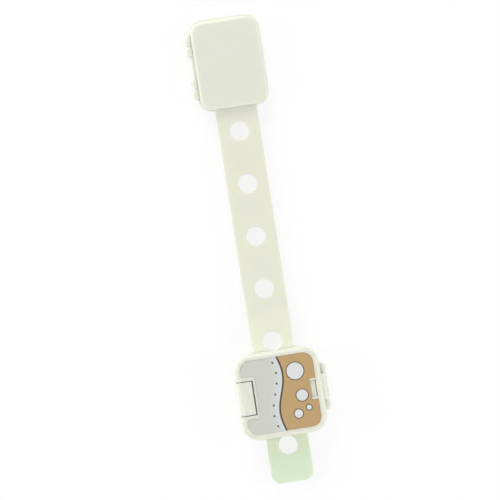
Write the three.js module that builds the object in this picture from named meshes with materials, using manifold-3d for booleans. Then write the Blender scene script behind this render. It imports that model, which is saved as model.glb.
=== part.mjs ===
// A child safety strap lock. A soft strap with a row of holes is held for good in a stick-on anchor.
// Its other end is pinned by any of its holes on the peg of a stick-on lock, under a hinged lid that a
// sprung button holds shut. Millimetres. +Z points off the furniture, +Y runs along the strap from the
// lock to the anchor, and +X points from the button to the hinge. The origin is the middle of the
// lock's adhesive face, on the axis of its peg.
import * as THREE from "three";
import { mergeVertices } from "three/addons/utils/BufferGeometryUtils.js";
import Module from "manifold-3d";

const wasm = await Module();
wasm.setup();

// Strap
const strapWidth = 20;
const strapThickness = 1.6;
const strapEdgeRound = 0.3;
const strapTailRadius = 4.5; // corners of the loose end
const strapHeadRadius = 1.5; // corners of the end inside the anchor
const holeDiameter = 8.8;
const holePitch = 25;
const spanHoles = 5; // free holes between the lock and the anchor
const tailLength = 17.6; // last tail hole to the loose end
const headLength = 12; // anchor hole to the held end

// Shared by the lock and the anchor
const foamThickness = 1;
const foamMargin = 2; // foam stands back from the base's edge
const floorThickness = 1.8;
const wallThickness = 1.6;
const deckThickness = 1.6; // top of the lid and of the anchor's cover
const strapSideClearance = 0.6;
const holdDownClearance = 0.3; // lid and cover stay this far off the strap
const pegClearance = 0.4; // peg in strap hole, each side
const pegHeadroom = 0.9; // peg top to the deck above it
const pegChamfer = 0.6;
const ringClearance = 0.5; // hold-down ring round the peg
const ringWall = 1.5;

// Lock housing
const lockLength = 40.9; // along the strap
const panelRadius = 4.8; // corners of the printed panel
const rimWidth = 2.8; // rim round the panel
const slotHead = 1.2; // base wall above the strap's top face
const partingGap = 0.3; // between base wall and lid
const lidDepth = 1.6; // hollow under the lid's deck
const panelThickness = 0.8;
const panelFit = 0.1; // gap round the panel
const rimStand = 0.3; // rim above the panel
const lidEdgeRound = 2.4;
const ribThickness = 1.2; // ribs that guide the strap

// Release button and its latch
const buttonLength = 15.8; // along the strap
const buttonDepth = 7.35; // across it
const buttonTravel = 0.5;
const buttonStopGap = 0.1; // left over at full travel
const buttonSideGap = 0.35;
const buttonWall = 1.6;
const buttonLift = 1.2; // button bottom above the base floor
const flangeThickness = 0.9; // flange that closes the gap beside the button from below
const flangeFit = 0.3; // above and below that flange
const frameWidth = 1.1; // raised frame beside the button
const frameEndWidth = 1.75; // and at the button's two ends
const slideThickness = 1.2; // plate the button slides on
const slideFit = 0.2; // above and below that plate
const slideEndFit = 0.3;
const slideTip = 1.2; // plate beyond the hook window
const railWall = 1.2;
const hookInset = 1.4; // from the button's opening to a hook
const hookLength = 2; // along the strap
const hookThickness = 1;
const hookNose = 0.55;
const hookFit = 0.3; // hook in its window
const latchClearance = 0.35; // nose to the plate it would catch on

// Spring
const springRadius = 1.7; // outside
const springWire = 0.45;
const springTurns = 6;
const springEndFit = 0.3;
const springPostFit = 0.25;
const springPostLength = 1.2;
const towerGap = 0.5; // spring tower to the pressed button
const towerHalf = 3;

// Hinge
const hingeRadius = 2;
const hingeReach = 0.95; // hinge axis outside the housing's face
const knuckleLength = 12.6;
const lugLength = 4.6;
const lugRound = 1.6; // corners of a lug seen from above
const hingeGap = 0.3;
const hingeTopGap = 0.4; // lugs below the base's wall top
const pinRadius = 0.75;
const pinFit = 0.1;

// Shallow window in the lid beside the hinge
const windowWidth = 2.95;
const windowLength = 8.2;
const windowFrame = 0.9; // at the window's two ends
const windowInset = 0.1; // from the panel's edge to the window
const windowLedge = 2; // floor of the window, above the lid's ceiling
const windowGroove = 0.35; // groove along the window's outer side
const windowGrooveDepth = 0.9; // below the window's floor

// Anchor
const anchorWidth = 33.4;
const anchorLength = 43;
const anchorRadius = 6.4;
const anchorOffset = 7.5; // anchor's middle beyond the hole it holds
const coverMargin = 0.6; // base stands out round the cover
const coverDepth = 2; // hollow above the strap's top face
const coverEdgeRound = 1.5;
const earRadius = 2.3; // small round lugs on the anchor's edge
const earHeight = 5.4;
const earReach = 2.8; // ears stand out beyond the anchor's edge
const earInner = 7.4; // from the anchor's middle line
const earOuter = 12.6;
const earGap = 0.3; // between an ear and the cover
const cheekReach = 1; // web between two ears, beyond the anchor's edge
const cheekHeight = 5;
const lipLength = 10.4; // lip on the edge between the ears
const lipReach = 0.6;
const snapRadius = 0.8;
const snapFit = 0.15;
const snapWall = 0.6;
const snapInset = 0.3; // boss to the cover's wall
const snapEndGap = 0.5;

// Heights above the furniture
const floorTop = foamThickness + floorThickness;
const strapTop = floorTop + strapThickness;
const baseTop = strapTop + slotHead;
const lidBottom = baseTop + partingGap;
const lidCeiling = lidBottom + lidDepth;
const panelFloor = lidCeiling + deckThickness;
const lidTop = panelFloor + panelThickness + rimStand;
const hingeZ = baseTop - hingeTopGap - hingeRadius;
const coverCeiling = strapTop + coverDepth;
const coverTop = coverCeiling + deckThickness;

// Places across the lock, measured from the peg
const channelHalf = strapWidth / 2 + strapSideClearance;
const ribOuter = channelHalf + ribThickness;
const halfWidth = ribOuter + towerGap + buttonTravel + buttonDepth;
const halfLength = lockLength / 2;
const lockRadius = panelRadius + rimWidth;
const innerX = halfWidth - wallThickness;
const innerY = halfLength - wallThickness;
const innerRadius = lockRadius - wallThickness;
const panelX = halfWidth - rimWidth;
const panelY = halfLength - rimWidth;
const hingeX = halfWidth + hingeReach;
const buttonInnerX = -halfWidth + buttonDepth;
const buttonHalf = buttonLength / 2;
const frameInnerX = buttonInnerX + buttonTravel + buttonStopGap;
const frameOuterX = frameInnerX + frameWidth;
const frameInnerY = buttonHalf + buttonSideGap;
const frameOuterY = frameInnerY + frameEndWidth;
const windowRight = panelX - windowInset;
const windowLeft = windowRight - windowWidth;
const flangeTop = lidCeiling + deckThickness - flangeFit;
const flangeBottom = flangeTop - flangeThickness;
const flangeX = frameInnerX - 2 * buttonStopGap;
const windowHalf = windowLength / 2;

// Places along the strap
const pegRadius = holeDiameter / 2 - pegClearance;
const anchorHoleY = (spanHoles + 1) * holePitch;
const anchorY = anchorHoleY + anchorOffset;
const coverX = anchorWidth / 2 - coverMargin;
const coverY = anchorLength / 2 - coverMargin;
const coverRadius = anchorRadius - coverMargin;

const cornerSegments = 4; // half the facets of a quarter turn
const roundSegments = 3; // steps in a rounded edge
const rodSides = 32;
const over = 1; // how far a cutter runs past what it cuts

// Solids

function solidOf(geometry) {
  geometry.deleteAttribute("normal");
  geometry.deleteAttribute("uv");
  const merged = mergeVertices(geometry, 1e-4);
  return new wasm.Manifold(
    new wasm.Mesh({
      numProp: 3,
      vertProperties: merged.attributes.position.array,
      triVerts: new Uint32Array(merged.index.array),
    }),
  );
}

function geometryOf(solid) {
  const mesh = solid.getMesh();
  const geometry = new THREE.BufferGeometry();
  geometry.setAttribute("position", new THREE.BufferAttribute(mesh.vertProperties, 3));
  geometry.setIndex(new THREE.BufferAttribute(mesh.triVerts, 1));
  geometry.computeVertexNormals();
  return geometry;
}

function join(...solids) {
  return solids.reduce((whole, next) => whole.add(next));
}

function cut(solid, ...cutters) {
  return cutters.reduce((left, next) => left.subtract(next), solid);
}

function box(x0, x1, y0, y1, z0, z1) {
  const geometry = new THREE.BoxGeometry(x1 - x0, y1 - y0, z1 - z0);
  geometry.translate((x0 + x1) / 2, (y0 + y1) / 2, (z0 + z1) / 2);
  return solidOf(geometry);
}

// A rounded rectangle about the origin, as an outline seen from above.
function roundedOutline(halfX, halfY, radius) {
  const outline = new THREE.Shape();
  const x = halfX - radius;
  const y = halfY - radius;
  outline.absarc(x, y, radius, 0, Math.PI / 2);
  outline.absarc(-x, y, radius, Math.PI / 2, Math.PI);
  outline.absarc(-x, -y, radius, Math.PI, 1.5 * Math.PI);
  outline.absarc(x, -y, radius, 1.5 * Math.PI, 2 * Math.PI);
  outline.closePath();
  return outline;
}

function circleHole(y, radius) {
  const hole = new THREE.Path();
  for (let quarter = 0; quarter < 4; quarter++)
    hole.absarc(0, y, radius, (quarter * Math.PI) / 2, ((quarter + 1) * Math.PI) / 2);
  return hole;
}

function prism(outline, z0, z1) {
  const geometry = new THREE.ExtrudeGeometry(outline, {
    depth: z1 - z0,
    bevelEnabled: false,
    curveSegments: cornerSegments,
  });
  geometry.translate(0, 0, z0);
  return solidOf(geometry);
}

// A prism whose edges are rounded inside its outline, at the top and the bottom.
function roundedPrism(outline, z0, z1, round, steps) {
  const geometry = new THREE.ExtrudeGeometry(outline, {
    depth: z1 - z0 - 2 * round,
    bevelThickness: round,
    bevelSize: round,
    bevelOffset: -round,
    bevelSegments: steps,
    curveSegments: cornerSegments,
  });
  geometry.translate(0, 0, z0 + round);
  return solidOf(geometry);
}

// A prism with only its top edge rounded.
function crownedPrism(outline, z0, z1, round) {
  const whole = roundedPrism(outline, z0 - round, z1, round, roundSegments);
  const below = box(-lockLength, lockLength, -lockLength, lockLength, z0 - 2 * round, z0);
  return cut(whole, below);
}

// A cylinder along X, Y or Z, from one end to the other.
function rod(axis, centre, radius, from, to) {
  const geometry = new THREE.CylinderGeometry(radius, radius, to - from, rodSides);
  const middle = (from + to) / 2;
  if (axis === "x") geometry.rotateZ(-Math.PI / 2).translate(middle, centre[0], centre[1]);
  if (axis === "y") geometry.translate(centre[0], middle, centre[1]);
  if (axis === "z") geometry.rotateX(Math.PI / 2).translate(centre[0], centre[1], middle);
  return solidOf(geometry);
}

// A turned shape about Z, from [radius, height] points that start and end on the axis.
function turned(points) {
  const profile = points.map(([radius, height]) => new THREE.Vector2(radius, height));
  const geometry = new THREE.LatheGeometry(profile, rodSides);
  geometry.rotateX(Math.PI / 2);
  return solidOf(geometry);
}

function bothSides(solid) {
  return solid.add(solid.mirror([0, 1, 0]));
}

function forEachCorner(make) {
  const solids = [];
  for (const x of [-1, 1]) for (const y of [-1, 1]) solids.push(make(x, y));
  return join(...solids);
}

// Shapes that the lock and the anchor share

const lockOutline = roundedOutline(halfWidth, halfLength, lockRadius);
const innerOutline = roundedOutline(innerX, innerY, innerRadius);

function peg(top) {
  return turned([
    [0, floorTop - floorThickness / 2],
    [pegRadius, floorTop - floorThickness / 2],
    [pegRadius, top - pegChamfer],
    [pegRadius - pegChamfer, top],
    [0, top],
  ]);
}

// Presses the strap down round the peg.
function holdDownRing(ceiling) {
  const ringInner = pegRadius + ringClearance;
  const bottom = strapTop + holdDownClearance;
  const outer = rod("z", [0, 0], ringInner + ringWall, bottom, ceiling + deckThickness / 2);
  return cut(outer, rod("z", [0, 0], ringInner, bottom - over, ceiling));
}

function foamPad(halfX, halfY, radius) {
  const outline = roundedOutline(halfX - foamMargin, halfY - foamMargin, radius - foamMargin);
  return prism(outline, 0, foamThickness);
}

// Strap

function strap() {
  const last = -holePitch - tailLength;
  const end = anchorHoleY + headLength;
  const half = strapWidth / 2;
  const outline = new THREE.Shape();
  const tail = half - strapTailRadius;
  const head = half - strapHeadRadius;
  outline.absarc(head, end - strapHeadRadius, strapHeadRadius, 0, Math.PI / 2);
  outline.absarc(-head, end - strapHeadRadius, strapHeadRadius, Math.PI / 2, Math.PI);
  outline.absarc(-tail, last + strapTailRadius, strapTailRadius, Math.PI, 1.5 * Math.PI);
  outline.absarc(tail, last + strapTailRadius, strapTailRadius, 1.5 * Math.PI, 2 * Math.PI);
  outline.closePath();
  for (let hole = -1; hole <= spanHoles + 1; hole++)
    outline.holes.push(circleHole(hole * holePitch, holeDiameter / 2));
  return roundedPrism(outline, floorTop, strapTop, strapEdgeRound, 1);
}

// Lock base

const slideX0 = -innerX + slideEndFit;
const slideX1 = buttonInnerX - frameWidth / 2;
const slideBottom = floorTop + buttonLift + slideFit;
const slideTop = slideBottom + slideThickness;
const hookY0 = frameInnerY + hookInset;
const hookY1 = hookY0 + hookLength;
const hookX0 = slideX0 + 2 * hookFit;
const hookX1 = hookX0 + hookThickness;
const catchX = hookX1 + hookNose + latchClearance;
const slideEndY = hookY1 + hookFit + slideTip;
const springZ = floorTop + buttonLift + springRadius;
const towerTop = lidCeiling - partingGap;
const postRadius = springRadius - springWire - springPostFit;

function hingeLugs() {
  const y0 = knuckleLength / 2 + hingeGap;
  const y1 = y0 + lugLength;
  const inside = innerX - over;
  const block = box(inside, hingeX, y0, y1, foamThickness, hingeZ + hingeRadius);
  const side = block.add(rod("y", [hingeX, hingeZ], hingeRadius, y0, y1));
  const reach = hingeX + hingeRadius;
  const outline = roundedOutline((reach - inside + lugRound) / 2, lugLength / 2, lugRound);
  const seen = prism(outline, foamThickness - over, baseTop + over);
  return bothSides(side.intersect(seen.translate([(reach + inside - lugRound) / 2, (y0 + y1) / 2, 0])));
}

function springTower() {
  const tower = box(-ribOuter, -channelHalf, -towerHalf, towerHalf, floorTop - over, towerTop);
  const tip = -ribOuter - springPostLength;
  const post = rod("x", [0, springZ], postRadius, tip, -channelHalf - ribThickness / 2);
  return tower.add(post);
}

// Keeps the button's slide plate down and lets it run across the lock.
function slideRails() {
  const lipY = hookY1 + 2 * hookFit;
  const outerY = slideEndY + slideFit + railWall;
  const lipTop = slideTop + slideFit + (lidCeiling - slideTop) / 2;
  const block = box(-innerX - wallThickness / 2, slideX1, lipY, outerY, floorTop - over, lipTop);
  const insideLid = roundedOutline(innerX - partingGap, innerY - partingGap, innerRadius - partingGap);
  const quarter = box(-halfWidth, 0, 0, halfLength, baseTop, lidTop);
  const aboveWall = cut(quarter, prism(insideLid, 0, lidTop + over));
  const rail = cut(block, aboveWall);
  const groove = box(
    -innerX,
    slideX1 + over,
    lipY - over,
    slideEndY + slideFit,
    slideBottom - slideFit,
    slideTop + slideFit,
  );
  return bothSides(cut(rail, groove));
}

function lockBase() {
  const shell = cut(prism(lockOutline, foamThickness, baseTop), prism(innerOutline, floorTop, lidTop));
  const strapSlots = box(-channelHalf, channelHalf, -lockLength, lockLength, floorTop, lidTop);
  const buttonNotch = box(
    -halfWidth - over,
    -innerX + wallThickness / 4,
    -buttonHalf - slideEndFit,
    buttonHalf + slideEndFit,
    floorTop + buttonLift - slideEndFit,
    lidTop,
  );
  const knuckleHalf = knuckleLength / 2 + hingeGap;
  const knuckleNotch = box(innerX, hingeX, -knuckleHalf, knuckleHalf, 0, lidTop);
  const ribEnd = halfLength - wallThickness / 2;
  const leftRib = box(-ribOuter, -channelHalf, -ribEnd, ribEnd, floorTop - over, baseTop);
  const rightRib = box(channelHalf, ribOuter, -ribEnd, ribEnd, floorTop - over, baseTop);
  const body = join(
    cut(shell, strapSlots, buttonNotch, knuckleNotch),
    leftRib,
    rightRib,
    peg(lidCeiling - pegHeadroom),
    hingeLugs(),
    springTower(),
    slideRails(),
  );
  const pinBore = rod("y", [hingeX, hingeZ], pinRadius + pinFit, -lockLength, lockLength);
  return cut(body, pinBore);
}

function hingePin() {
  const half = knuckleLength / 2 + hingeGap + lugLength;
  return rod("y", [hingeX, hingeZ], pinRadius, -half, half);
}

// Lid, with the frames round the button and the window standing up to the height of its rim

function lidKnuckle() {
  const half = knuckleLength / 2;
  const web = new THREE.Shape();
  const inside = innerX + hingeGap;
  const rise = lidBottom + wallThickness;
  web.moveTo(inside, hingeZ);
  web.lineTo(hingeX + hingeRadius, hingeZ);
  web.quadraticCurveTo(hingeX + hingeRadius, lidBottom, halfWidth - wallThickness / 4, rise);
  web.lineTo(inside, rise);
  web.closePath();
  const geometry = new THREE.ExtrudeGeometry(web, {
    depth: knuckleLength,
    bevelEnabled: false,
    curveSegments: cornerSegments,
  });
  geometry.rotateX(Math.PI / 2).translate(0, half, 0);
  return solidOf(geometry).add(rod("y", [hingeX, hingeZ], hingeRadius, -half, half));
}

function latchHooks() {
  const nose = floorTop + (slideBottom - floorTop) / 3;
  const outline = new THREE.Shape();
  outline.moveTo(hookX0, panelFloor - deckThickness / 2);
  outline.lineTo(hookX0, nose);
  outline.lineTo(hookX1, nose);
  outline.lineTo(hookX1 + hookNose, (nose + slideBottom) / 2);
  outline.lineTo(hookX1 + hookNose, slideBottom - slideFit);
  outline.lineTo(hookX1, slideBottom - slideFit);
  outline.lineTo(hookX1, panelFloor - deckThickness / 2);
  outline.closePath();
  const geometry = new THREE.ExtrudeGeometry(outline, { depth: hookLength, bevelEnabled: false });
  geometry.rotateX(Math.PI / 2).translate(0, hookY1, 0);
  return bothSides(solidOf(geometry));
}

// The lips that close the strap slots above the strap.
function slotLips() {
  const half = channelHalf - pegClearance;
  const lip = box(-half, half, innerY, halfLength, strapTop + holdDownClearance, lidCeiling);
  return bothSides(lip);
}

function panelOutlineSolid(gap, z0, z1) {
  const outline = roundedOutline(panelX + gap, panelY + gap, panelRadius + gap);
  const buttonPart = box(
    -halfWidth - over,
    frameOuterX - gap,
    -frameOuterY + gap,
    frameOuterY - gap,
    z0 - over,
    z1 + over,
  );
  const windowPart = box(
    windowLeft + gap,
    halfWidth + over,
    -windowHalf - windowFrame + gap,
    windowHalf + windowFrame - gap,
    z0 - over,
    z1 + over,
  );
  return cut(prism(outline, z0, z1), buttonPart, windowPart);
}

function lockLid() {
  const shell = cut(
    crownedPrism(lockOutline, lidBottom, lidTop, lidEdgeRound),
    prism(innerOutline, lidBottom - over, lidCeiling),
    panelOutlineSolid(0, panelFloor, lidTop + over),
  );
  const buttonOpening = box(-halfWidth - over, frameInnerX, -frameInnerY, frameInnerY, 0, lidTop + over);
  const grooveX = flangeX + buttonTravel + slideFit;
  const flangeGroove = box(-innerX, grooveX, -frameInnerY, frameInnerY, 0, flangeTop + flangeFit);
  const ledgeTop = lidCeiling + windowLedge;
  const grooveLeft = windowRight - windowGroove;
  const grooveFloor = ledgeTop - windowGrooveDepth;
  const windowRecess = box(windowLeft, windowRight, -windowHalf, windowHalf, ledgeTop, lidTop + over);
  const recessGroove = box(grooveLeft, windowRight, -windowHalf, windowHalf, grooveFloor, lidTop + over);
  const cover = cut(shell, buttonOpening, flangeGroove, windowRecess, recessGroove);
  const body = join(cover, holdDownRing(lidCeiling), slotLips(), latchHooks(), lidKnuckle());
  const pinBore = rod("y", [hingeX, hingeZ], pinRadius + pinFit, -lockLength, lockLength);
  return cut(body, pinBore);
}

function facePanel() {
  return panelOutlineSolid(-panelFit, panelFloor, panelFloor + panelThickness);
}

// Button and spring

function releaseButton() {
  const bottom = floorTop + buttonLift;
  const block = box(-halfWidth - over, buttonInnerX, -buttonHalf, buttonHalf, bottom, lidTop);
  const head = block.intersect(crownedPrism(lockOutline, bottom, lidTop, lidEdgeRound));
  const plate = box(slideX0, slideX1, -slideEndY, slideEndY, slideBottom, slideTop);
  const hookWindow = bothSides(
    box(slideX0 - over, catchX, hookY0 - hookFit, hookY1 + hookFit, slideBottom - over, slideTop + over),
  );
  const sideHalf = buttonHalf - buttonWall;
  const hollow = box(
    -halfWidth + buttonWall,
    buttonInnerX - buttonWall,
    -sideHalf,
    sideHalf,
    bottom - over,
    lidTop - buttonWall,
  );
  const springHalf = springRadius + springPostFit;
  const springWay = box(
    -halfWidth + buttonWall,
    buttonInnerX + over,
    -springHalf,
    springHalf,
    bottom - over,
    springZ + springHalf,
  );
  const flange = box(buttonInnerX - over, flangeX, -buttonHalf, buttonHalf, flangeBottom, flangeTop);
  const wallInside = -halfWidth + buttonWall;
  const tip = wallInside + springPostLength;
  const post = rod("x", [0, springZ], postRadius, wallInside - buttonWall / 2, tip);
  return join(cut(head.add(cut(plate, hookWindow)), hollow, springWay), flange, post);
}

class Helix extends THREE.Curve {
  constructor(radius, length, turns) {
    super();
    this.radius = radius;
    this.length = length;
    this.turns = turns;
  }
  getPoint(t, target = new THREE.Vector3()) {
    const angle = 2 * Math.PI * this.turns * t;
    return target.set(this.length * t, this.radius * Math.cos(angle), this.radius * Math.sin(angle));
  }
}

function buttonSpring() {
  const x0 = -halfWidth + buttonWall + springEndFit + springWire / 2;
  const x1 = -ribOuter - springEndFit - springWire / 2;
  const wire = new THREE.Shape().absarc(0, 0, springWire / 2, 0, 2 * Math.PI);
  const geometry = new THREE.ExtrudeGeometry(wire, {
    extrudePath: new Helix(springRadius - springWire / 2, x1 - x0, springTurns),
    steps: springTurns * 16,
    curveSegments: 3,
  });
  geometry.translate(x0, 0, springZ);
  return solidOf(geometry);
}

// Anchor

const earX = anchorWidth / 2 + earReach - earRadius;

// A snap's place, in the rounded corner inside the cover.
function snapPlace(x, y) {
  const bossRadius = snapRadius + snapFit + snapWall;
  const intoCorner = (coverRadius - wallThickness - snapInset - bossRadius) / Math.SQRT2;
  return [x * (coverX - coverRadius + intoCorner), y * (coverY - coverRadius + intoCorner)];
}

function coverSolid(gap, z0, z1) {
  return prism(roundedOutline(coverX + gap, coverY + gap, coverRadius + gap), z0, z1);
}

// Joins two ears along the plate's edge and tapers to its corner.
function anchorCheeks() {
  const edge = anchorWidth / 2;
  const cornerTurn = Math.PI / 8; // how far round the plate's corner the taper ends
  const cornerX = edge - anchorRadius * (1 - Math.cos(cornerTurn));
  const cornerY = anchorLength / 2 - anchorRadius * (1 - Math.sin(cornerTurn));
  const outline = new THREE.Shape();
  outline.moveTo(-edge + cheekReach, earInner);
  outline.lineTo(-edge + cheekReach, cornerY);
  outline.lineTo(-cornerX, cornerY);
  outline.lineTo(-edge - cheekReach, earOuter + earRadius - cheekReach / 2);
  outline.lineTo(-edge - cheekReach, earInner);
  outline.closePath();
  return bothSides(prism(outline, foamThickness, foamThickness + cheekHeight));
}

function anchorBase() {
  const outline = roundedOutline(anchorWidth / 2, anchorLength / 2, anchorRadius);
  const plate = prism(outline, foamThickness, floorTop);
  const ears = [-earOuter, -earInner, earInner, earOuter].map((y) =>
    rod("z", [-earX, y], earRadius, foamThickness, foamThickness + earHeight),
  );
  const lipOutline = roundedOutline(2 * lipReach, lipLength / 2, lipReach);
  const lip = prism(lipOutline, foamThickness, foamThickness + earHeight);
  const clearOfCover = coverSolid(earGap, floorTop, coverTop);
  const bosses = forEachCorner((x, y) => {
    const radius = snapRadius + snapFit;
    const top = coverCeiling - snapEndGap;
    const boss = rod("z", snapPlace(x, y), radius + snapWall, floorTop - over / 2, top);
    return cut(boss, rod("z", snapPlace(x, y), radius, floorTop, top + over));
  });
  const anchorPeg = peg(coverCeiling - pegHeadroom).translate([0, -anchorOffset, 0]);
  const edgeShapes = join(...ears, anchorCheeks(), lip.translate([lipReach - anchorWidth / 2, 0, 0]));
  return join(plate, cut(edgeShapes, clearOfCover), bosses, anchorPeg);
}

function anchorCover() {
  const outline = roundedOutline(coverX, coverY, coverRadius);
  const inner = roundedOutline(coverX - wallThickness, coverY - wallThickness, coverRadius - wallThickness);
  const shell = cut(
    crownedPrism(outline, floorTop, coverTop, coverEdgeRound),
    prism(inner, floorTop - over, coverCeiling),
    box(-channelHalf, channelHalf, -anchorLength, 0, floorTop - over, strapTop + holdDownClearance),
  );
  const studs = forEachCorner((x, y) =>
    rod("z", snapPlace(x, y), snapRadius, floorTop + snapEndGap, coverCeiling + deckThickness / 2),
  );
  const ring = holdDownRing(coverCeiling).translate([0, -anchorOffset, 0]);
  return join(shell, studs, ring);
}

// Finishes

const finishes = {
  shell: { color: 0xeef0e2, roughness: 0.38 },
  base: { color: 0xe4e7d3, roughness: 0.42 },
  strap: { color: 0xe5e6d6, roughness: 0.5 },
  panel: { color: 0xc3a678, roughness: 0.35 },
  foam: { color: 0xf1f1ee, roughness: 0.95 },
  steel: { color: 0xb9bcbf, roughness: 0.3, metalness: 1 },
};

const group = new THREE.Group();

function place(name, solid, finish, y = 0) {
  const material = new THREE.MeshStandardMaterial({ metalness: 0, ...finishes[finish] });
  const mesh = new THREE.Mesh(geometryOf(solid), material);
  mesh.name = name;
  mesh.position.y = y;
  group.add(mesh);
}

place("strap", strap(), "strap");
place("lock_adhesive_foam", foamPad(halfWidth, halfLength, lockRadius), "foam");
place("lock_base", lockBase(), "base");
place("lock_lid", lockLid(), "shell");
place("face_panel", facePanel(), "panel");
place("hinge_pin", hingePin(), "steel");
place("release_button", releaseButton(), "base");
place("button_spring", buttonSpring(), "steel");
place("anchor_adhesive_foam", foamPad(anchorWidth / 2, anchorLength / 2, anchorRadius), "foam", anchorY);
place("anchor_base", anchorBase(), "base", anchorY);
place("anchor_cover", anchorCover(), "shell", anchorY);

export default group;
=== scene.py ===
import math
import bmesh
import bpy
from mathutils import Matrix, Vector


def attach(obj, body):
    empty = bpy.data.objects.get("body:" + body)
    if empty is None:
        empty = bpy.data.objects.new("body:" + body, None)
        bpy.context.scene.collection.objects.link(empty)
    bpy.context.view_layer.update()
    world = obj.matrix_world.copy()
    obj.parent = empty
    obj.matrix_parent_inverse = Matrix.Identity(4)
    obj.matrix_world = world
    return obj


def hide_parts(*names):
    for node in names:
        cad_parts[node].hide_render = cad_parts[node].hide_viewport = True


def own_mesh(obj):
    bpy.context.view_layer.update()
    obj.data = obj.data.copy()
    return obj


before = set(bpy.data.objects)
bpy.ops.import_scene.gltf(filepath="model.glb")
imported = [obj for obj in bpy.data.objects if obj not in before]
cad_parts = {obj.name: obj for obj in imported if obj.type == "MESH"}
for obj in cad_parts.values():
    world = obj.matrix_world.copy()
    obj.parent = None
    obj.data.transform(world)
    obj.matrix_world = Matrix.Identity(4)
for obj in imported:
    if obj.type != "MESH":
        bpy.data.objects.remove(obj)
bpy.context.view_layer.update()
mm = 0.001  # pieces are shaped in millimetres and brought to metres when they are finished
nearly = 1e-4  # places closer than this are the same
past = 1.0  # how far a cutting shape goes past what it cuts
meshCare = {"weld": 0.002, "flatAngle": 0.3, "sharpAngle": 25}  # millimetres, degrees, degrees


# Shaping

def startBlock(x, y, z, corner=0, cornerSteps=14, top=0, bottom=0, edgeSteps=6):
    bm = bmesh.new()
    bmesh.ops.create_cube(bm, size=1)
    low = Vector((x[0], y[0], z[0]))
    high = Vector((x[1], y[1], z[1]))
    bmesh.ops.scale(bm, vec=high - low, verts=bm.verts)
    bmesh.ops.translate(bm, vec=(low + high) / 2, verts=bm.verts)
    if corner:
        roundEdges(bm, uprightEdges(bm), corner, cornerSteps)
    if top:
        roundEdges(bm, edgesAtHeight(bm, z[1]), top, edgeSteps)
    if bottom:
        roundEdges(bm, edgesAtHeight(bm, z[0]), bottom, edgeSteps)
    return bm


def startRod(radius, length, steps=64):  # along Z, standing on the XY plane
    bm = bmesh.new()
    bmesh.ops.create_cone(bm, cap_ends=True, segments=steps, radius1=radius, radius2=radius, depth=length)
    bmesh.ops.translate(bm, vec=(0, 0, length / 2), verts=bm.verts)
    return bm


def uprightEdges(bm, keep=lambda x, y: True):
    def stands(edge):
        a, b = edge.verts[0].co, edge.verts[1].co
        return abs(a.x - b.x) < nearly and abs(a.y - b.y) < nearly and keep(a.x, a.y)
    return [edge for edge in bm.edges if stands(edge)]


def edgesAtHeight(bm, height):
    return [e for e in bm.edges if all(abs(v.co.z - height) < nearly for v in e.verts)]


def roundEdges(bm, edges, width, steps):
    bmesh.ops.bevel(
        bm, geom=edges, offset=width, offset_type="OFFSET", segments=steps, profile=0.5,
        affect="EDGES", clamp_overlap=False, material=-1,
    )


def move(bm, x=0, y=0, z=0):
    bmesh.ops.translate(bm, vec=(x, y, z), verts=bm.verts)
    return bm


def turn(bm, degrees, axis):
    spin = Matrix.Rotation(math.radians(degrees), 3, axis)
    bmesh.ops.rotate(bm, cent=(0, 0, 0), matrix=spin, verts=bm.verts)
    return bm


def mirrored(make):  # a shape for either end, where side is 1 towards the anchor and -1 towards the tail
    return [make(1), make(-1)]


def asPiece(bm, name="shape"):
    bmesh.ops.recalc_face_normals(bm, faces=bm.faces)
    mesh = bpy.data.meshes.new(name)
    bm.to_mesh(mesh)
    bm.free()
    piece = bpy.data.objects.new(name, mesh)
    bpy.context.collection.objects.link(piece)
    return piece


def discard(piece):
    mesh = piece.data
    bpy.data.objects.remove(piece)
    bpy.data.meshes.remove(mesh)


def asShape(piece):  # back to a bmesh, to combine it with another piece
    bm = bmesh.new()
    bm.from_mesh(piece.data)
    discard(piece)
    return bm


def applyModifiers(piece):
    graph = bpy.context.evaluated_depsgraph_get()
    finished = bpy.data.meshes.new_from_object(piece.evaluated_get(graph))
    old = piece.data
    piece.modifiers.clear()
    piece.data = finished
    bpy.data.meshes.remove(old)


def combine(piece, how, *shapes):  # how is UNION, DIFFERENCE or INTERSECT
    tools = [asPiece(shape, "tool") for shape in shapes]
    for tool in tools:
        step = piece.modifiers.new("combine", "BOOLEAN")
        step.solver = "EXACT"
        step.operation = how
        step.object = tool
    applyModifiers(piece)
    for tool in tools:
        discard(tool)


def soften(piece, width, steps=3):  # a small round on every sharp edge
    bm = bmesh.new()
    bm.from_mesh(piece.data)
    bmesh.ops.remove_doubles(bm, verts=bm.verts, dist=meshCare["weld"])
    bmesh.ops.dissolve_limit(
        bm, angle_limit=math.radians(meshCare["flatAngle"]), use_dissolve_boundaries=False,
        verts=bm.verts, edges=bm.edges,
    )
    bmesh.ops.connect_verts_concave(bm, faces=bm.faces)  # a face with a hole in it would fold over itself
    limit = math.radians(meshCare["sharpAngle"])
    sharp = [e for e in bm.edges if e.is_manifold and e.calc_face_angle() > limit]
    roundEdges(bm, sharp, width, steps)
    bmesh.ops.recalc_face_normals(bm, faces=bm.faces)
    bm.to_mesh(piece.data)
    bm.free()


def finishPiece(piece, name, body, material, slot, *nodes):
    piece.name = name
    piece.data.transform(Matrix.Scale(mm, 4))
    piece.data.polygons.foreach_set("use_smooth", [True] * len(piece.data.polygons))
    weigh = piece.modifiers.new("weigh", "WEIGHTED_NORMAL")
    weigh.keep_sharp = True
    applyModifiers(piece)
    piece.data.name = name
    piece.data.materials.clear()
    piece.data.materials.append(material)
    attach(piece, body)
    if nodes:
        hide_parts(*nodes)
    print("made", name, len(piece.data.polygons), "faces")
    return piece


# Materials

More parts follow.
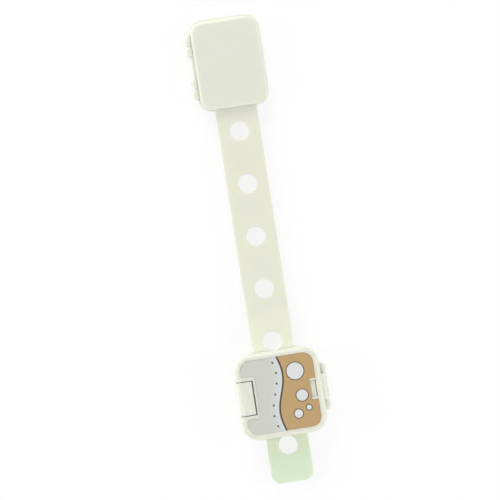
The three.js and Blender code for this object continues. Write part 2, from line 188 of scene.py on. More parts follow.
def linear(hexColour):
    parts = [int(hexColour[i:i + 2], 16) / 255 for i in (1, 3, 5)]
    return tuple(p / 12.92 if p <= 0.04045 else ((p + 0.055) / 1.055) ** 2.4 for p in parts) + (1,)


def addNode(tree, kind, inputs=None, stops=None, **settings):
    node = tree.nodes.new(kind)
    for name, value in settings.items():
        setattr(node, name, value)
    for name, value in (inputs or {}).items():
        if isinstance(value, bpy.types.NodeSocket):
            tree.links.new(value, node.inputs[name])
        else:
            node.inputs[name].default_value = value
    for number, (place, colour) in enumerate(stops or ()):
        marks = node.color_ramp.elements
        mark = marks[number] if number < 2 else marks.new(place)
        mark.position = place
        mark.color = linear(colour)
    return node


def startMaterial(name, **settings):
    material = bpy.data.materials.new(name)
    material.use_nodes = True
    tree = material.node_tree
    shader = tree.nodes["Principled BSDF"]
    for socket, value in settings.items():
        shader.inputs[socket.replace("_", " ")].default_value = value
    place = tree.nodes.new("ShaderNodeTexCoord").outputs["Object"]
    return material, tree, shader, place


absFinish = {
    "driftSize": 14.0,  # millimetres across a slow change of tint
    "grainSize": 0.5,
    "grainDepth": 0.03,
    "smoother": 0.06,  # roughness in the grain's low and high places
    "rougher": 0.08,
}


# Moulded ABS: tinted in the mass, so an even creamy white, with the faint matt grain that the mould's
# spark-eroded steel leaves on it. The real grain is about 0.05 mm and is drawn at 0.5 mm, to show.
def mouldedAbs(name, pale, deep, roughness):
    material, tree, shader, place = startMaterial(
        name, IOR=1.54, Subsurface_Weight=0.6, Subsurface_Scale=0.004
    )
    shader.inputs["Subsurface Radius"].default_value = (1.0, 0.9, 0.6)
    values = absFinish
    drift = addNode(
        tree, "ShaderNodeTexNoise", {"Vector": place, "Scale": 1 / (values["driftSize"] * mm), "Detail": 3}
    )
    tint = addNode(tree, "ShaderNodeValToRGB", {"Fac": drift.outputs["Fac"]}, [(0.3, deep), (0.7, pale)])
    grain = addNode(
        tree, "ShaderNodeTexNoise", {"Vector": place, "Scale": 1 / (values["grainSize"] * mm), "Detail": 4}
    )
    matt = addNode(
        tree, "ShaderNodeMapRange",
        {
            "Value": grain.outputs["Fac"], "To Min": roughness - values["smoother"],
            "To Max": roughness + values["rougher"],
        },
    )
    relief = addNode(
        tree, "ShaderNodeBump",
        {"Height": grain.outputs["Fac"], "Strength": 0.12, "Distance": values["grainDepth"] * mm},
    )
    tree.links.new(tint.outputs["Color"], shader.inputs["Base Color"])
    tree.links.new(matt.outputs["Result"], shader.inputs["Roughness"])
    tree.links.new(relief.outputs["Normal"], shader.inputs["Normal"])
    return material


shellAbs = mouldedAbs("moulded ABS, shell", "#e9ead9", "#e7e8d6", 0.36)
baseAbs = mouldedAbs("moulded ABS, base", "#eff0de", "#eceddb", 0.4)


tpuFinish = {
    "from": -43.0,  # millimetres along the strap, where the tints and the painted light start and end
    "to": 137.0,
    "tintsAndPaintedLight": [
        # painted light: lighter just below the lock (0.13), a near-white painted highlight just above it
        # (0.36), lighter at the anchor end (1.0), where the housings shade the strap
        (0.0, "#dbead2"), (0.08, "#dceacf"), (0.13, "#e3f0d8"), (0.36, "#f6f9e3"),
        (0.41, "#eef0dc"), (0.47, "#e6e8d7"), (0.9, "#e5e6d5"), (1.0, "#e9eadb"),
    ],
    "flowSize": 1.2,
    "flowStretch": 0.15,  # less than 1 draws the marks out along the strap
    "flowDepth": 0.04,
}


# Soft moulded TPU: a little see-through, so its tail, lying in the light by itself, looks a little greener.
# Along the strap its colour also holds painted light: a near-white painted highlight just above the lock, and
# painted lightening just below the lock and at the anchor end, against the shade the two housings cast there.
# Its surface is smooth with slight flow marks along the strap.
def softTpu():
    material, tree, shader, place = startMaterial(
        "moulded TPU, strap", IOR=1.5, Subsurface_Weight=0.5, Subsurface_Scale=0.003, Roughness=0.45
    )
    shader.inputs["Subsurface Radius"].default_value = (1.0, 0.95, 0.6)
    values = tpuFinish
    parts = addNode(tree, "ShaderNodeSeparateXYZ", {"Vector": place})
    along = addNode(
        tree, "ShaderNodeMapRange",
        {"Value": parts.outputs["Y"], "From Min": values["from"] * mm, "From Max": values["to"] * mm},
    )
    # the colour along the strap, painted light included
    body = addNode(tree, "ShaderNodeValToRGB", {"Fac": along.outputs["Result"]}, values["tintsAndPaintedLight"])
    stretch = addNode(tree, "ShaderNodeMapping", {"Vector": place, "Scale": (1, values["flowStretch"], 1)})
    flow = addNode(
        tree, "ShaderNodeTexNoise",
        {"Vector": stretch.outputs["Vector"], "Scale": 1 / (values["flowSize"] * mm), "Detail": 3},
    )
    relief = addNode(
        tree, "ShaderNodeBump",
        {"Height": flow.outputs["Fac"], "Strength": 0.15, "Distance": values["flowDepth"] * mm},
    )
    tree.links.new(body.outputs["Color"], shader.inputs["Base Color"])
    tree.links.new(relief.outputs["Normal"], shader.inputs["Normal"])
    return material


strapTpu = softTpu()


filmPrint = {  # millimetres on the film
    "grey": "#ced0c7",
    "paintedHighlightGrey": "#d6dbdc",
    "tan": "#c2a06a",
    "deepTan": "#b99a6c",
    "ink": "#43342a",
    "disc": "#dde1e0",
    "lineSwing": 1.9,  # the line's way to either side
    "linePeriod": 36.0,
    "linePlace": 0.4,
    "lineHalf": 0.42,
    "dotFromLine": 3.0,
    "dotPitch": 5.0,
    "dotRadius": 0.5,
    "rimWidth": 0.42,
    "discs": [(8.3, 9.6, 4.0), (9.9, -2.2, 2.7), (7.0, -10.6, 2.0), (12.3, -8.4, 1.2)],  # x, y, radius
    "edge": 0.06,  # blur of a printed edge
    "paintedHighlightReach": 6.0,  # the grey field is painted paler this close to the line, a painted highlight
    "cloudSize": 5.0,
    "peelSize": 0.9,
    "peelDepth": 0.03,
}


# Printed polyester film: a grey and a tan field parted by a dark line that swings like an S, small dots
# beside it and pale discs with dark rims, under a clear lacquer with a faint orange peel. Near the line the
# grey is painted paler, a painted highlight.
def printedFilm():
    material, tree, shader, place = startMaterial(
        "printed polyester film", IOR=1.5, Roughness=0.38, Coat_Weight=0.25, Coat_Roughness=0.15
    )
    values = filmPrint
    blur = values["edge"]
    flat = addNode(
        tree, "ShaderNodeVectorMath", {0: place, 1: (1 / mm, 1 / mm, 0)}, operation="MULTIPLY"
    ).outputs["Vector"]
    parts = addNode(tree, "ShaderNodeSeparateXYZ", {"Vector": flat})
    angle = addNode(
        tree, "ShaderNodeMath", {0: parts.outputs["Y"], 1: 2 * math.pi / values["linePeriod"]},
        operation="MULTIPLY",
    )
    swing = addNode(tree, "ShaderNodeMath", {0: angle.outputs["Value"]}, operation="SINE")
    line = addNode(
        tree, "ShaderNodeMath",
        {0: swing.outputs["Value"], 1: values["lineSwing"], 2: values["linePlace"]}, operation="MULTIPLY_ADD",
    )
    fromLine = addNode(
        tree, "ShaderNodeMath", {0: parts.outputs["X"], 1: line.outputs["Value"]}, operation="SUBTRACT"
    ).outputs["Value"]
    # painted highlight: the grey pales towards the line
    paintedHighlightFade = addNode(
        tree, "ShaderNodeMapRange", {"Value": fromLine, "From Min": -values["paintedHighlightReach"], "From Max": 0.0},
        interpolation_type="SMOOTHSTEP",
    )
    grey = addNode(
        tree, "ShaderNodeMixRGB",
        {
            "Fac": paintedHighlightFade.outputs["Result"], "Color1": linear(values["grey"]),
            "Color2": linear(values["paintedHighlightGrey"]),
        },
    )
    cloud = addNode(
        tree, "ShaderNodeTexNoise", {"Vector": flat, "Scale": 1 / values["cloudSize"], "Detail": 3}
    )
    tan = addNode(
        tree, "ShaderNodeMixRGB",
        {"Fac": cloud.outputs["Fac"], "Color1": linear(values["tan"]), "Color2": linear(values["deepTan"])},
    )
    right = addNode(
        tree, "ShaderNodeMapRange", {"Value": fromLine, "From Min": -blur, "From Max": blur}
    )
    fields = addNode(
        tree, "ShaderNodeMixRGB",
        {"Fac": right.outputs["Result"], "Color1": grey.outputs["Color"], "Color2": tan.outputs["Color"]},
    )
    # Ink: the line, and a row of dots that keeps its distance from it
    besideLine = addNode(tree, "ShaderNodeMath", {0: fromLine}, operation="ABSOLUTE")
    onLine = addNode(
        tree, "ShaderNodeMapRange",
        {
            "Value": besideLine.outputs["Value"], "From Min": values["lineHalf"] - blur,
            "From Max": values["lineHalf"] + blur, "To Min": 1.0, "To Max": 0.0,
        },
    )
    half = values["dotPitch"] / 2
    dotAlong = addNode(
        tree, "ShaderNodeMath", {0: parts.outputs["Y"], 1: half, 2: -half}, operation="WRAP"
    )
    dotAcross = addNode(
        tree, "ShaderNodeMath", {0: fromLine, 1: values["dotFromLine"]}, operation="ADD"
    )
    fromDot = addNode(
        tree, "ShaderNodeCombineXYZ", {"X": dotAcross.outputs["Value"], "Y": dotAlong.outputs["Value"]}
    )
    dotDistance = addNode(
        tree, "ShaderNodeVectorMath", {0: fromDot.outputs["Vector"]}, operation="LENGTH"
    )
    onDot = addNode(
        tree, "ShaderNodeMapRange",
        {
            "Value": dotDistance.outputs["Value"], "From Min": values["dotRadius"] - blur,
            "From Max": values["dotRadius"] + blur, "To Min": 1.0, "To Max": 0.0,
        },
    )
    inked = addNode(
        tree, "ShaderNodeMath", {0: onLine.outputs["Result"], 1: onDot.outputs["Result"]}, operation="MAXIMUM"
    )
    colour = addNode(
        tree, "ShaderNodeMixRGB",
        {"Fac": inked.outputs["Value"], "Color1": fields.outputs["Color"], "Color2": linear(values["ink"])},
    )
    for x, y, radius in values["discs"]:
        away = addNode(
            tree, "ShaderNodeVectorMath", {0: flat, 1: (x, y, 0)}, operation="DISTANCE"
        ).outputs["Value"]
        for reach, paint in ((radius + values["rimWidth"], values["ink"]), (radius, values["disc"])):
            covers = addNode(
                tree, "ShaderNodeMapRange",
                {
                    "Value": away, "From Min": reach - blur, "From Max": reach + blur,
                    "To Min": 1.0, "To Max": 0.0,
                },
            )
            colour = addNode(
                tree, "ShaderNodeMixRGB",
                {"Fac": covers.outputs["Result"], "Color1": colour.outputs["Color"], "Color2": linear(paint)},
            )
    peel = addNode(tree, "ShaderNodeTexNoise", {"Vector": flat, "Scale": 1 / values["peelSize"], "Detail": 2})
    relief = addNode(
        tree, "ShaderNodeBump",
        {"Height": peel.outputs["Fac"], "Strength": 0.08, "Distance": values["peelDepth"] * mm},
    )
    tree.links.new(colour.outputs["Color"], shader.inputs["Base Color"])
    tree.links.new(relief.outputs["Normal"], shader.inputs["Normal"])
    return material


film = printedFilm()


foamFinish = {"cellSize": 0.4, "cellDepth": 0.08}


# Closed-cell polyethylene foam: white, fully matt, with small shut bubbles about 0.4 mm across.
def closedCellFoam():
    material, tree, shader, place = startMaterial("closed-cell PE foam", IOR=1.45, Roughness=0.9)
    cells = addNode(
        tree, "ShaderNodeTexVoronoi", {"Vector": place, "Scale": 1 / (foamFinish["cellSize"] * mm)}
    )
    tint = addNode(
        tree, "ShaderNodeValToRGB", {"Fac": cells.outputs["Distance"]}, [(0.1, "#f3f3ef"), (0.8, "#dfdfd8")]
    )
    relief = addNode(
        tree, "ShaderNodeBump",
        {"Height": cells.outputs["Distance"], "Strength": 0.5, "Distance": foamFinish["cellDepth"] * mm},
    )
    tree.links.new(tint.outputs["Color"], shader.inputs["Base Color"])
    tree.links.new(relief.outputs["Normal"], shader.inputs["Normal"])
    return material


foam = closedCellFoam()


wireFinish = {"markSize": 0.15, "smooth": 0.22, "rough": 0.4}


# Drawn stainless steel wire: bright, with the die's fine marks, which are drawn at 0.15 mm, to show.
def drawnSteel():
    material, tree, shader, place = startMaterial("drawn stainless steel", Metallic=1.0)
    values = wireFinish
    marks = addNode(
        tree, "ShaderNodeTexNoise", {"Vector": place, "Scale": 1 / (values["markSize"] * mm), "Detail": 2}
    )
    tint = addNode(
        tree, "ShaderNodeValToRGB", {"Fac": marks.outputs["Fac"]}, [(0.3, "#a9acb0"), (0.7, "#c8cacc")]
    )
    matt = addNode(
        tree, "ShaderNodeMapRange",
        {"Value": marks.outputs["Fac"], "To Min": values["smooth"], "To Max": values["rough"]},
    )
    tree.links.new(tint.outputs["Color"], shader.inputs["Base Color"])
    tree.links.new(matt.outputs["Result"], shader.inputs["Roughness"])
    return material


steel = drawnSteel()
print("materials ready")


# Strap

strapSizes = {
    "half": 10.0,
    "tail": -42.6,
    "head": 162.0,
    "bottom": 2.8,
    "top": 4.4,
    "tailCorner": 4.5,
    "headCorner": 1.5,
    "holeRadius": 4.4,
    "pitch": 25.0,
    "holes": range(-1, 7),  # counted from the lock's peg
    "punch": 4.0,  # length of the punch
    "edgeRound": 0.5,
}


def makeStrap():
    s = strapSizes
    bm = startBlock((-s["half"], s["half"]), (s["tail"], s["head"]), (s["bottom"], s["top"]))
    roundEdges(bm, uprightEdges(bm, lambda x, y: y < 0), s["tailCorner"], steps=12)
    roundEdges(bm, uprightEdges(bm, lambda x, y: y > s["head"] - nearly), s["headCorner"], steps=8)
    piece = asPiece(bm)
    combine(piece, "DIFFERENCE", *[
        move(startRod(s["holeRadius"], s["punch"]), y=s["pitch"] * hole, z=s["bottom"] - past)
        for hole in s["holes"]
    ])
    soften(piece, s["edgeRound"], steps=5)
    return finishPiece(piece, "softStrap", "mounted", strapTpu, "strap_plastic", "strap")


makeStrap()


# Lock housing

lockSizes = {
    "halfX": 20.15,
    "halfY": 20.45,
    "corner": 7.6,
    "wall": 1.6,
    "lidBottom": 5.9,
    "ceiling": 7.5,
    "panelFloor": 9.1,
    "lidTop": 10.2,
    "edgeRound": 2.4,
    "panelX": 17.35,
    "panelY": 17.65,
    "panelCorner": 4.8,
    "panelTop": 9.9,
    "panelGap": 0.02,
    "panelSoften": 0.06,
    "frameOuterX": -11.1,
    "frameInnerX": -12.2,
    "frameOuterY": 10.0,
    "frameInnerY": 8.25,
    "frameCorner": 1.1,
    "openingCorner": 0.5,
    "grooveX": -11.7,  # under the frame, where the button's flange runs
    "windowX": (14.3, 17.25),
    "windowLedge": 9.5,
    "windowY": 4.1,
    "windowCorner": 0.3,
    "windowFrame": 0.9,  # at its two ends
    "windowFrameCorner": 0.5,
    "grooveFromX": 16.9,  # groove along the window's outer side
    "grooveFloor": 8.6,
    "grooveOver": 0.1,  # the groove's cutter ends just over the ledge
    "ringInner": 4.5,
    "ringOuter": 6.0,
    "ringBottom": 4.7,
    "ringCut": 4.0,  # from the ceiling down to below the ring
    "sink": 0.5,  # how far the ring and the hooks go into the ceiling
    "lipHalf": 10.2,
    "lipBottom": 4.7,
    "hookX": (-17.65, -16.65),
    "hookNose": 0.55,
    "noseInset": 0.2,
    "hookY": (9.65, 11.65),
    "hookBottom": 3.27,
    "hookCatch": 4.0,
    "hingeX": 21.1,
    "hingeZ": 3.2,
    "hingeRadius": 2.0,
    "knuckleHalf": 6.3,
    "webRoot": 1.3,  # how far the knuckle's web goes into the wall
    "webRound": 3.2,
    "boreRadius": 0.85,
    "boreLength": 30.0,
    "cutterEnd": 5.0,  # cutters that cross a side wall end this far outside it
    "edgeSoften": 0.2,
}


def lidForm(deeper=0):
    s = lockSizes
    return startBlock(
        (-s["halfX"], s["halfX"]), (-s["halfY"], s["halfY"]), (s["lidBottom"] - deeper, s["lidTop"]),
        corner=s["corner"], top=s["edgeRound"], edgeSteps=8,
    )


def panelForm(gap, bottom, top):  # the panel's outline, cut back from the frames round button and window
    s = lockSizes
    piece = asPiece(startBlock(
        (-s["panelX"] - gap, s["panelX"] + gap), (-s["panelY"] - gap, s["panelY"] + gap), (bottom, top),
        corner=s["panelCorner"] + gap,
    ))
    buttonFrame = startBlock(
        (-s["halfX"] - s["cutterEnd"], s["frameOuterX"] - gap),
        (-s["frameOuterY"] + gap, s["frameOuterY"] - gap), (bottom - past, top + past),
        corner=s["frameCorner"] - gap, cornerSteps=6,
    )
    windowHalf = s["windowY"] + s["windowFrame"] - gap
    windowFrame = startBlock(
        (s["windowX"][0] + gap, s["halfX"] + s["cutterEnd"]), (-windowHalf, windowHalf),
        (bottom - past, top + past), corner=s["windowFrameCorner"], cornerSteps=4,
    )
    combine(piece, "DIFFERENCE", buttonFrame, windowFrame)
    return piece


def knuckleForm():
    s = lockSizes
    half = s["knuckleHalf"]
    rod = turn(startRod(s["hingeRadius"], 2 * half), -90, "X")
    move(rod, x=s["hingeX"], y=-half, z=s["hingeZ"])
    across = (s["halfX"] - s["webRoot"], s["hingeX"] + s["hingeRadius"])
    web = startBlock(across, (-half, half), (s["hingeZ"], s["ceiling"]))
    outer = [e for e in edgesAtHeight(web, s["ceiling"]) if all(v.co.x > s["hingeX"] for v in e.verts)]
    roundEdges(web, outer, s["webRound"], steps=10)
    return rod, web


def makeLid():
    s = lockSizes
    piece = asPiece(lidForm())
    inner = startBlock(
        (-s["halfX"] + s["wall"], s["halfX"] - s["wall"]), (-s["halfY"] + s["wall"], s["halfY"] - s["wall"]),
        (s["lidBottom"] - past, s["ceiling"]), corner=s["corner"] - s["wall"],
    )
    over = s["lidTop"] + past
    recess = asShape(panelForm(0, s["panelFloor"], over))
    buttonAlong = (-s["frameInnerY"], s["frameInnerY"])
    opening = startBlock(
        (-s["halfX"] - s["cutterEnd"], s["frameInnerX"]), buttonAlong, (0, over),
        corner=s["openingCorner"], cornerSteps=4,
    )
    groove = startBlock((-s["halfX"] + s["wall"], s["grooveX"]), buttonAlong, (0, s["panelFloor"]))
    windowAlong = (-s["windowY"], s["windowY"])
    window = startBlock(
        s["windowX"], windowAlong, (s["windowLedge"], over), corner=s["windowCorner"], cornerSteps=3
    )
    windowGroove = startBlock(
        (s["grooveFromX"], s["windowX"][1]), windowAlong,
        (s["grooveFloor"], s["windowLedge"] + s["grooveOver"]),
    )
    combine(piece, "DIFFERENCE", inner, recess, opening, groove, window, windowGroove)
    ringHeight = s["ceiling"] - s["ringBottom"] + s["sink"]
    ring = asPiece(move(startRod(s["ringOuter"], ringHeight), z=s["ringBottom"]))
    combine(ring, "DIFFERENCE", move(startRod(s["ringInner"], s["ringCut"]), z=s["ceiling"] - s["ringCut"]))
    lips = mirrored(lambda side: startBlock(
        (-s["lipHalf"], s["lipHalf"]),
        sorted((side * (s["halfY"] - s["wall"]), side * s["halfY"])), (s["lipBottom"], s["ceiling"]),
    ))
    combine(piece, "UNION", asShape(ring), *lips, *mirrored(latchHook), *knuckleForm())
    bore = turn(startRod(s["boreRadius"], s["boreLength"], steps=32), -90, "X")
    combine(piece, "DIFFERENCE", move(bore, x=s["hingeX"], y=-s["boreLength"] / 2, z=s["hingeZ"]))
    soften(piece, s["edgeSoften"])
    return finishPiece(piece, "lidShell", "lid", shellAbs, "housing_plastic", "lock_lid")


def latchHook(side):
    s = lockSizes
    near, far = sorted((side * s["hookY"][0], side * s["hookY"][1]))
    hook = asPiece(startBlock(s["hookX"], (near, far), (s["hookBottom"], s["ceiling"] + s["sink"])))
    nose = startBlock(
        (s["hookX"][0] + s["noseInset"], s["hookX"][1] + s["hookNose"]), (near, far),
        (s["hookBottom"], s["hookCatch"]),
    )
    tip = [v for v in nose.verts if v.co.x > s["hookX"][1] and v.co.z < s["hookBottom"] + nearly]
    bmesh.ops.translate(nose, vec=(-s["hookNose"], 0, 0), verts=tip)
    combine(hook, "UNION", nose)
    return asShape(hook)


def makePanel():
    s = lockSizes
    piece = panelForm(-s["panelGap"], s["panelFloor"], s["panelTop"])
    soften(piece, s["panelSoften"], steps=2)
    return finishPiece(piece, "printedPanel", "lid", film, "printed_panel", "face_panel")


makeLid()
makePanel()


# Release button

buttonSizes = {
    "outer": -20.15,
    "inner": -12.8,
    "half": 7.9,
    "bottom": 4.0,
    "blankOuter": -22.15,  # the blank is cut to the lid's form
    "blankTop": 12.0,
    "wall": 1.6,
    "slideX": (-18.25, -13.35),
    "slideHalf": 13.15,
    "slideZ": (4.2, 5.4),
    "flangeX": -12.4,
    "flangeRoot": 0.8,
    "flangeZ": (7.9, 8.8),
    "hookWindowX": -15.75,
    "hookWindowY": (9.35, 11.95),
    "springZ": 5.7,
    "springWay": 1.95,
    "hollowCorner": 0.4,
    "postRadius": 1.0,
    "postLength": 1.2,
    "edgeSoften": 0.3,
}


def makeButton():
    s = buttonSizes
    along = (-s["half"], s["half"])
    piece = asPiece(startBlock((s["blankOuter"], s["inner"]), along, (s["bottom"], s["blankTop"])))
    combine(piece, "INTERSECT", lidForm(lockSizes["lidBottom"] - s["bottom"]))
    slide = asPiece(startBlock(s["slideX"], (-s["slideHalf"], s["slideHalf"]), s["slideZ"]))
    combine(slide, "DIFFERENCE", *mirrored(lambda side: startBlock(
        (s["slideX"][0] - past, s["hookWindowX"]),
        sorted((side * s["hookWindowY"][0], side * s["hookWindowY"][1])),
        (s["slideZ"][0] - past, s["slideZ"][1] + past),
    )))
    flange = startBlock((s["inner"] - s["flangeRoot"], s["flangeX"]), along, s["flangeZ"])
    combine(piece, "UNION", asShape(slide), flange)
    sideHalf = s["half"] - s["wall"]
    hollow = startBlock(
        (s["outer"] + s["wall"], s["inner"] - s["wall"]), (-sideHalf, sideHalf),
        (s["bottom"] - past, lockSizes["lidTop"] - s["wall"]), corner=s["hollowCorner"], cornerSteps=3,
    )
    way = startBlock(
        (s["outer"] + s["wall"], s["inner"] + past), (-s["springWay"], s["springWay"]),
        (s["bottom"] - past, s["springZ"] + s["springWay"]),
    )
    combine(piece, "DIFFERENCE", hollow, way)
    post = turn(startRod(s["postRadius"], s["wall"] / 2 + s["postLength"], steps=32), 90, "Y")
    combine(piece, "UNION", move(post, x=s["outer"] + s["wall"] / 2, z=s["springZ"]))
    soften(piece, s["edgeSoften"], steps=4)
    return finishPiece(piece, "pushButton", "button", baseAbs, "base_plastic", "release_button")


makeButton()


# Button spring

springSizes = {
    "start": -18.25,
    "end": -12.1,
    "height": 5.7,
    "coilRadius": 1.475,
    "wireRadius": 0.225,
    "wireSides": 10,
    "turns": 6,
    "endTurns": 0.75,  # nearly closed turns at either end
    "endPitch": 2.2,  # wire radii that such a turn advances
    "stepsPerTurn": 28,
    "pressed": 0.5,
}


def makeSpring():
    s = springSizes
    bm = bmesh.new()
    circle = bmesh.ops.create_circle(bm, cap_ends=False, radius=s["wireRadius"], segments=s["wireSides"])
    last = circle["verts"] + bm.edges[:]
    turn(bm, 90, "X")
    move(bm, x=s["start"] + s["wireRadius"], z=s["height"] + s["coilRadius"])
    length = s["end"] - s["start"] - 2 * s["wireRadius"]
    closed = s["endTurns"] * s["endPitch"] * s["wireRadius"]
    middle = s["turns"] - 2 * s["endTurns"]
    for turns, advance in ((s["endTurns"], closed), (middle, length - 2 * closed), (s["endTurns"], closed)):
        steps = round(turns * s["stepsPerTurn"])
        made = bmesh.ops.spin(
            bm, geom=last, cent=(0, 0, s["height"]), axis=(1, 0, 0), dvec=(advance / steps, 0, 0),
            angle=2 * math.pi * turns, steps=steps, use_merge=False, use_duplicate=False,
        )
        last = made["geom_last"]
    bmesh.ops.remove_doubles(bm, verts=bm.verts, dist=meshCare["weld"])
    bmesh.ops.holes_fill(bm, edges=bm.edges, sides=s["wireSides"])
    piece = finishPiece(asPiece(bm), "pressSpring", "mounted", steel, "steel", "button_spring")
    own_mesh(piece)
    return piece


makeSpring()


# Hinge pin

pinSizes = {"x": 21.1, "z": 3.2, "radius": 0.75, "half": 11.2, "endRound": 0.25}


def makePin():
    s = pinSizes
    bm = startRod(s["radius"], 2 * s["half"], steps=40)
    ends = edgesAtHeight(bm, 0) + edgesAtHeight(bm, 2 * s["half"])
    roundEdges(bm, ends, s["endRound"], steps=4)
    move(turn(bm, -90, "X"), x=s["x"], y=-s["half"], z=s["z"])
    return finishPiece(asPiece(bm), "steelPin", "mounted", steel, "steel", "hinge_pin")


makePin()


# Lock base, which keeps the shape of its solid and gets soft edges

baseSizes = {"edgeSoften": 0.15}


def makeLockBase():
    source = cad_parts["lock_base"]
    piece = bpy.data.objects.new("lockBase", source.data.copy())
    piece.data.transform(source.matrix_world)
    piece.data.transform(Matrix.Scale(1 / mm, 4))
    bpy.context.collection.objects.link(piece)
    soften(piece, baseSizes["edgeSoften"])
    return finishPiece(piece, "lockBase", "mounted", baseAbs, "base_plastic", "lock_base")


makeLockBase()


# Anchor base

anchorSizes = {
    "halfX": 16.7,
    "halfY": 21.5,
    "middle": 157.5,
    "corner": 6.4,
    "bottom": 1.0,
    "floor": 2.8,
    "ridgeTop": 6.4,
    "earX": -17.2,
    "earRadius": 2.3,
    "earPlaces": (7.4, 12.6),
    "earRound": 0.5,
    "lipHalf": 5.6,
    "lipX": -17.3,
    "lipRoot": 1.0,
    "lipCorner": 0.5,
    "lipRound": 0.3,
    "cheek": [(-15.4, 7.4), (-15.4, 17.3), (-17.7, 14.6), (-17.7, 7.4)],  # web between two ears, x and y
    "cheekTop": 6.0,
    "pegY": 150,
    "pegRadius": 4.0,
    "pegTop": 5.5,
    "pegRound": 0.4,
    "bossPlace": (11.96, 16.76),
    "bossRadius": 1.55,
    "boreRadius": 0.95,
    "bossTop": 5.9,
    "sink": 1.0,  # how far the peg and the bosses go into the plate
    "edgeSoften": 0.1,
}


def cheekForm(side):
    s = anchorSizes
    bm = bmesh.new()
    corners = [bm.verts.new((x, s["middle"] + side * y, s["bottom"])) for x, y in s["cheek"]]
    made = bmesh.ops.extrude_face_region(bm, geom=[bm.faces.new(corners)])
    raised = [item for item in made["geom"] if isinstance(item, bmesh.types.BMVert)]
    bmesh.ops.translate(bm, vec=(0, 0, s["cheekTop"] - s["bottom"]), verts=raised)
    return cutToCover(bm)


def cutToCover(bm):  # what would stand inside the cover is taken off
    ridge = asPiece(bm)
    combine(ridge, "DIFFERENCE", coverForm())
    return asShape(ridge)


def makeAnchorBase():
    s = anchorSizes
    middle, bottom, top = s["middle"], s["bottom"], s["ridgeTop"]
    piece = asPiece(startBlock(
        (-s["halfX"], s["halfX"]), (middle - s["halfY"], middle + s["halfY"]), (bottom, s["floor"]),
        corner=s["corner"],
    ))
    combine(piece, "UNION", *mirrored(cheekForm))
    for side in (1, -1):
        for place in s["earPlaces"]:
            ear = startRod(s["earRadius"], top - bottom, steps=48)
            move(ear, x=s["earX"], y=middle + side * place, z=bottom)
            roundEdges(ear, edgesAtHeight(ear, top), s["earRound"], steps=4)
            combine(piece, "UNION", cutToCover(ear))
    lip = startBlock(
        (s["lipX"], -s["halfX"] + s["lipRoot"]), (middle - s["lipHalf"], middle + s["lipHalf"]), (bottom, top)
    )
    roundEdges(lip, uprightEdges(lip, lambda x, y: x < -s["halfX"]), s["lipCorner"], steps=6)
    roundEdges(lip, edgesAtHeight(lip, top), s["lipRound"], steps=3)
    combine(piece, "UNION", cutToCover(lip))
    root = s["floor"] - s["sink"]
    peg = move(startRod(s["pegRadius"], s["pegTop"] - root), y=s["pegY"], z=root)
    roundEdges(peg, edgesAtHeight(peg, s["pegTop"]), s["pegRound"], steps=3)
    combine(piece, "UNION", peg)
    x, y = s["bossPlace"]
    places = [(x * a, middle + y * b) for a in (-1, 1) for b in (-1, 1)]
    bossHeight = s["bossTop"] - root
    boreHeight = s["bossTop"] - s["floor"] + past
    bosses = [move(startRod(s["bossRadius"], bossHeight, steps=24), *place, root) for place in places]
    bores = [move(startRod(s["boreRadius"], boreHeight, steps=24), *place, s["floor"]) for place in places]
    combine(piece, "UNION", *bosses)
    combine(piece, "DIFFERENCE", *bores)
    soften(piece, s["edgeSoften"])
    return finishPiece(piece, "anchorBase", "mounted", baseAbs, "base_plastic", "anchor_base")


# Anchor cover

coverSizes = {
    "halfX": 16.1,
    "halfY": 20.9,
    "middle": 157.5,
    "corner": 5.8,
    "bottom": 2.8,
    "top": 8.0,
    "wall": 1.6,
    "edgeRound": 1.5,
    "slotHalf": 10.6,
    "slotTop": 4.7,
    "edgeSoften": 0.2,
}


def coverForm():
    s = coverSizes
    return startBlock(
        (-s["halfX"], s["halfX"]), (s["middle"] - s["halfY"], s["middle"] + s["halfY"]),
        (s["bottom"], s["top"]), corner=s["corner"], top=s["edgeRound"], edgeSteps=8,
    )


def makeCover():
    s = coverSizes
    y0, y1 = s["middle"] - s["halfY"], s["middle"] + s["halfY"]
    piece = asPiece(coverForm())
    hollow = startBlock(
        (-s["halfX"] + s["wall"], s["halfX"] - s["wall"]), (y0 + s["wall"], y1 - s["wall"]),
        (s["bottom"] - past, s["top"] - s["wall"]), corner=s["corner"] - s["wall"],
    )
    slot = startBlock(
        (-s["slotHalf"], s["slotHalf"]), (y0 - past, s["middle"]), (s["bottom"] - past, s["slotTop"])
    )
    combine(piece, "DIFFERENCE", hollow, slot)
    soften(piece, s["edgeSoften"])
    return finishPiece(piece, "anchorCover", "mounted", shellAbs, "housing_plastic", "anchor_cover")


makeAnchorBase()
makeCover()


# Foam tape pads

foamSizes = {
    "height": 1.0,
    "edgeRound": 0.12,
    "lock": {"halfX": 18.15, "halfY": 18.45, "middle": 0, "corner": 5.6},
    "anchor": {"halfX": 14.7, "halfY": 19.5, "middle": 157.5, "corner": 4.4},
}


def makeFoam(place):
    s = foamSizes[place]
    edge = foamSizes["edgeRound"]
    piece = asPiece(startBlock(
        (-s["halfX"], s["halfX"]), (s["middle"] - s["halfY"], s["middle"] + s["halfY"]),
        (0, foamSizes["height"]), corner=s["corner"], cornerSteps=10, top=edge, bottom=edge, edgeSteps=2,
    ))
    return finishPiece(piece, place + "Foam", "mounted", foam, "foam_tape", place + "_adhesive_foam")


makeFoam("lock")
makeFoam("anchor")


# Floor, light and camera

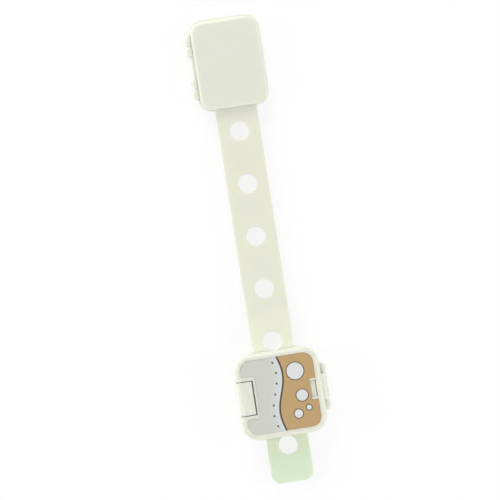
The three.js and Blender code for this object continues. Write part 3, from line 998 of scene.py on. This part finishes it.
roomSizes = {  # metres, watts and degrees
    "floorHalf": 3.0,
    "floorDrop": 0.00005,  # under the pads' faces, so the two don't flicker
    "floorBounce": "#f2f2f2",
    "floorSeen": "#7d7d7d",  # the eye sees this with the glow below, so shadows stay faint
    "floorGlow": 0.8,
    "skyLevel": 0.46,
    "lamps": [  # place, watts, size: behind, left, right and in front, all low
        ((-0.21, 1.14, 0.51), 6.4, 0.7),
        ((-1.08, 0.23, 0.51), 5.0, 0.7),
        ((1.08, -0.09, 0.51), 4.2, 0.7),
        ((0.17, -0.99, 0.51), 3.7, 0.7),
    ],
    "lookAt": (-0.0037, 0.0689, 0.005),
    "distance": 2.4,
    "lens": 367.0,
    "farthest": 20.0,  # that the camera sees
    "lean": 3.5,  # off straight down, towards the button and the anchor
    "leanWay": (-0.55, 0.83),
    "roll": 8.86,
}


def whiteToSight(tree, shade, strength):  # adds white that only the eye, gloss and glass see
    path = addNode(tree, "ShaderNodeLightPath")
    seen = addNode(
        tree, "ShaderNodeMath", {0: path.outputs["Is Camera Ray"], 1: path.outputs["Is Glossy Ray"]},
        operation="MAXIMUM",
    )
    seen = addNode(
        tree, "ShaderNodeMath", {0: seen.outputs["Value"], 1: path.outputs["Is Transmission Ray"]},
        operation="MAXIMUM",
    )
    level = addNode(tree, "ShaderNodeMath", {0: seen.outputs["Value"], 1: strength}, operation="MULTIPLY")
    glow = addNode(tree, "ShaderNodeEmission", {"Color": (1, 1, 1, 1), "Strength": level.outputs["Value"]})
    return addNode(tree, "ShaderNodeAddShader", {0: shade, 1: glow.outputs["Emission"]}).outputs["Shader"]


def makeRoom():
    s = roomSizes
    bm = bmesh.new()
    bmesh.ops.create_grid(bm, x_segments=1, y_segments=1, size=s["floorHalf"])
    move(bm, z=-s["floorDrop"])
    floor = asPiece(bm, "floor")
    material = bpy.data.materials.new("plain pale floor")
    material.use_nodes = True
    tree = material.node_tree
    tree.nodes.clear()
    path = addNode(tree, "ShaderNodeLightPath")
    tone = addNode(
        tree, "ShaderNodeMixRGB",
        {
            "Fac": path.outputs["Is Camera Ray"], "Color1": linear(s["floorBounce"]),
            "Color2": linear(s["floorSeen"]),
        },
    )
    paper = addNode(tree, "ShaderNodeBsdfDiffuse", {"Color": tone.outputs["Color"]})
    shown = whiteToSight(tree, paper.outputs["BSDF"], s["floorGlow"])
    addNode(tree, "ShaderNodeOutputMaterial", {"Surface": shown})
    floor.data.materials.append(material)

    world = bpy.data.worlds.new("soft studio")
    world.use_nodes = True
    tree = world.node_tree
    tree.nodes.clear()
    sky = addNode(tree, "ShaderNodeBackground", {"Color": (1, 1, 1, 1), "Strength": s["skyLevel"]})
    shown = whiteToSight(tree, sky.outputs["Background"], 1 - s["skyLevel"])
    addNode(tree, "ShaderNodeOutputWorld", {"Surface": shown})
    bpy.context.scene.world = world

    for place, watts, size in s["lamps"]:
        lamp = bpy.data.lights.new("soft lamp", "AREA")
        lamp.shape = "DISK"
        lamp.size = size
        lamp.energy = watts
        shine = bpy.data.objects.new("soft lamp", lamp)
        shine.location = place
        aim = Vector(s["lookAt"]) - Vector(place)
        shine.rotation_euler = aim.to_track_quat("-Z", "Y").to_euler()
        bpy.context.collection.objects.link(shine)


def makeCamera():
    s = roomSizes
    lean = math.radians(s["lean"])
    way = Vector((*s["leanWay"], 0)).normalized()
    back = way * math.sin(lean) + Vector((0, 0, math.cos(lean)))
    roll = math.radians(s["roll"])
    up = Vector((math.sin(roll), math.cos(roll), 0))
    up = (up - up.dot(back) * back).normalized()
    right = up.cross(back)
    eye = bpy.data.cameras.new("photo view")
    eye.lens = s["lens"]
    eye.clip_end = s["farthest"]
    camera = bpy.data.objects.new("photo view", eye)
    pose = Matrix((right, up, back)).transposed().to_4x4()
    pose.translation = Vector(s["lookAt"]) + back * s["distance"]
    camera.matrix_world = pose
    bpy.context.collection.objects.link(camera)
    bpy.context.scene.camera = camera


makeRoom()
makeCamera()
bpy.context.scene.view_settings.view_transform = "Standard"
print("room ready")
